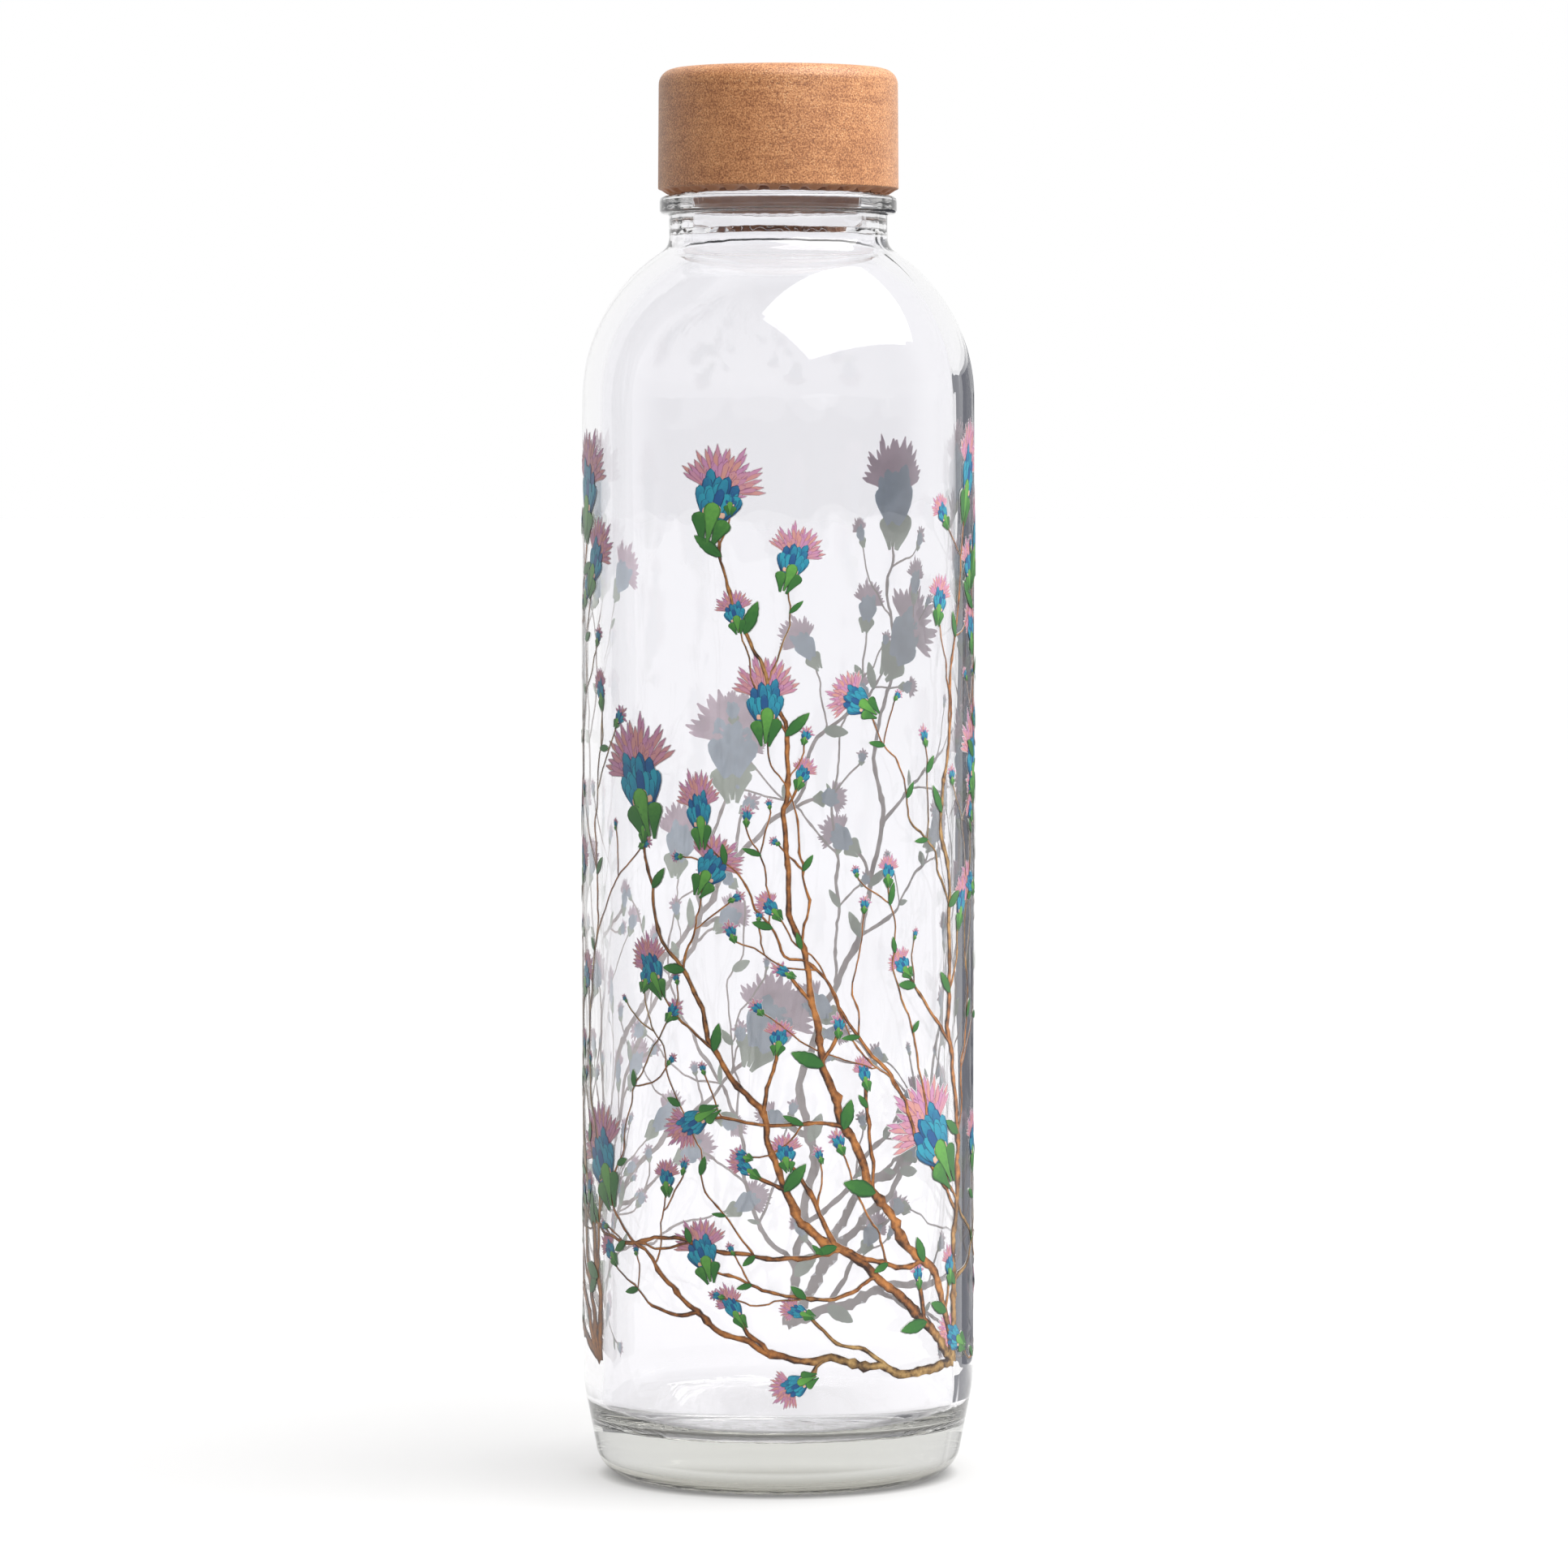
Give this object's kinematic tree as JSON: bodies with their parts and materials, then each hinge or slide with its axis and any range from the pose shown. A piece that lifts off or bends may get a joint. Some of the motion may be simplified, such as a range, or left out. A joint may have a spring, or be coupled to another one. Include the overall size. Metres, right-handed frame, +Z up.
{
  "type": "glass water bottle",
  "caption": "Tall clear glass water bottle with a round shoulder, short neck and plain wood-composite screw cap.",
  "frame": {"origin": "centre of the base, on the surface that the bottle stands on", "axes": "+Z up along the bottle's axis, towards the cap. The bottle is round, so +X only fixes the start of its screw thread"},
  "size_m": [0.0708, 0.0708, 0.2542],
  "materials": {
    "bottle_glass": "clear, glossy, very faint green tint",
    "wood_composite": "satin, fine granular wood-fibre composite",
    "insert_plastic": "matt moulded plastic, tan",
    "seal_silicone": "matt milky silicone"
  },
  "bodies": {
    "bottle": {"glass_bottle": "bottle_glass"},
    "seal": {"seal_ring": "seal_silicone"},
    "cap": {"cap_shell": "wood_composite", "cap_thread_insert": "insert_plastic"}
  },
  "joints": [
    {"name": "cap_rise", "type": "slide", "parent": "bottle", "child": "seal", "axis": [0, 0, 1], "range_m": [0, 0.021]},
    {"name": "cap_turn", "type": "hinge", "parent": "seal", "child": "cap", "pos_m": [0, 0, 0.24], "axis": [0, 0, 1], "range_deg": [0, 1800]}
  ],
  "couplings": [
    {"joint": "cap_rise", "follows": "cap_turn", "m_per_rad": 0.00066845}
  ]
}
